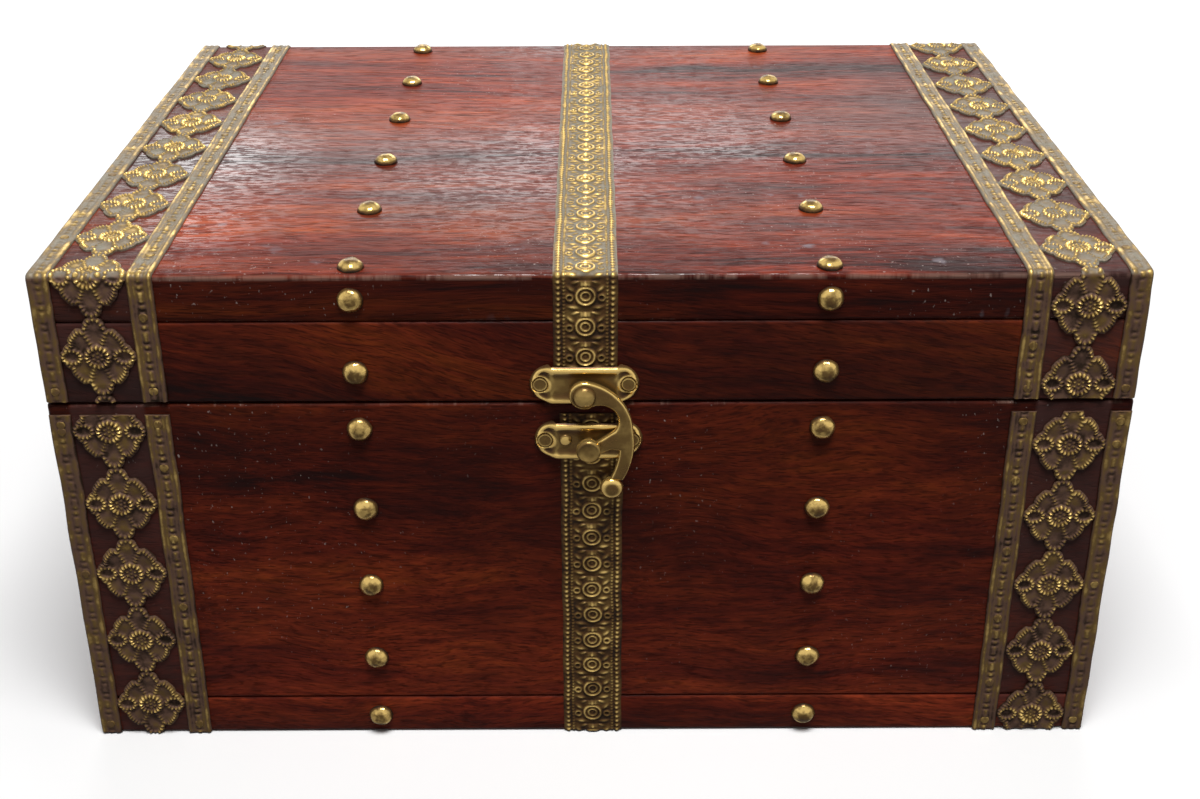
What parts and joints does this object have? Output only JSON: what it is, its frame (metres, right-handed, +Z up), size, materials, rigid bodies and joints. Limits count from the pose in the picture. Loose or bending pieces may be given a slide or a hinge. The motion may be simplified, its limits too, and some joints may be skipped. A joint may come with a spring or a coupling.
{
  "type": "keepsake box",
  "caption": "Rectangular dark wooden keepsake box with a hinged lid, pierced and embossed brass bands, brass dome nails and a swing hook clasp that catches a post.",
  "frame": {"origin": "middle of the underside of the box", "axes": "+X to the right along the front, -Y towards the front with the clasp, +Z up"},
  "size_m": [0.3, 0.2207, 0.1567],
  "materials": {
    "rosewood": "deep reddish brown hardwood with dark streaks under a worn satin lacquer",
    "band_brass": "thin embossed sheet, aged olive gold with dark patina in the recesses",
    "nail_brass": "domed heads, rubbed bright on top",
    "hinge_brass": "satin, slightly dulled",
    "clasp_brass": "polished, smooth from handling"
  },
  "bodies": {
    "base": {"base_board": "rosewood", "front_wall": "rosewood", "back_wall": "rosewood", "left_wall": "rosewood", "right_wall": "rosewood", "base_front_band_left": "band_brass", "base_front_band_centre": "band_brass", "base_front_band_right": "band_brass", "base_back_band_left": "band_brass", "base_back_band_centre": "band_brass", "base_back_band_right": "band_brass", "base_front_nails": "nail_brass", "base_back_nails": "nail_brass", "left_hinge_base_leaf": "hinge_brass", "right_hinge_base_leaf": "hinge_brass", "left_hinge_pin": "hinge_brass", "right_hinge_pin": "hinge_brass", "hinge_base_screws": "hinge_brass", "catch_plate": "clasp_brass", "catch_plate_pins": "clasp_brass", "catch_post": "clasp_brass"},
    "lid": {"lid_top_board": "rosewood", "lid_front_rail": "rosewood", "lid_back_rail": "rosewood", "lid_left_rail": "rosewood", "lid_right_rail": "rosewood", "lid_band_left": "band_brass", "lid_band_centre": "band_brass", "lid_band_right": "band_brass", "lid_front_nails": "nail_brass", "lid_top_nails": "nail_brass", "lid_back_nails": "nail_brass", "left_hinge_lid_leaf": "hinge_brass", "right_hinge_lid_leaf": "hinge_brass", "hinge_lid_screws": "hinge_brass", "hook_plate": "clasp_brass", "hook_plate_pins": "clasp_brass", "hook_rivet": "clasp_brass"},
    "hook": {"clasp_hook": "clasp_brass"}
  },
  "joints": [
    {"name": "lid_hinge", "type": "hinge", "parent": "base", "child": "lid", "pos_m": [0, 0.1015, 0.115], "axis": [-1, 0, 0], "range_deg": [0, 105]},
    {"name": "hook_swing", "type": "hinge", "parent": "lid", "child": "hook", "pos_m": [-0.0018, -0.109, 0.1196], "axis": [0, -1, 0], "range_deg": [0, 300]}
  ]
}
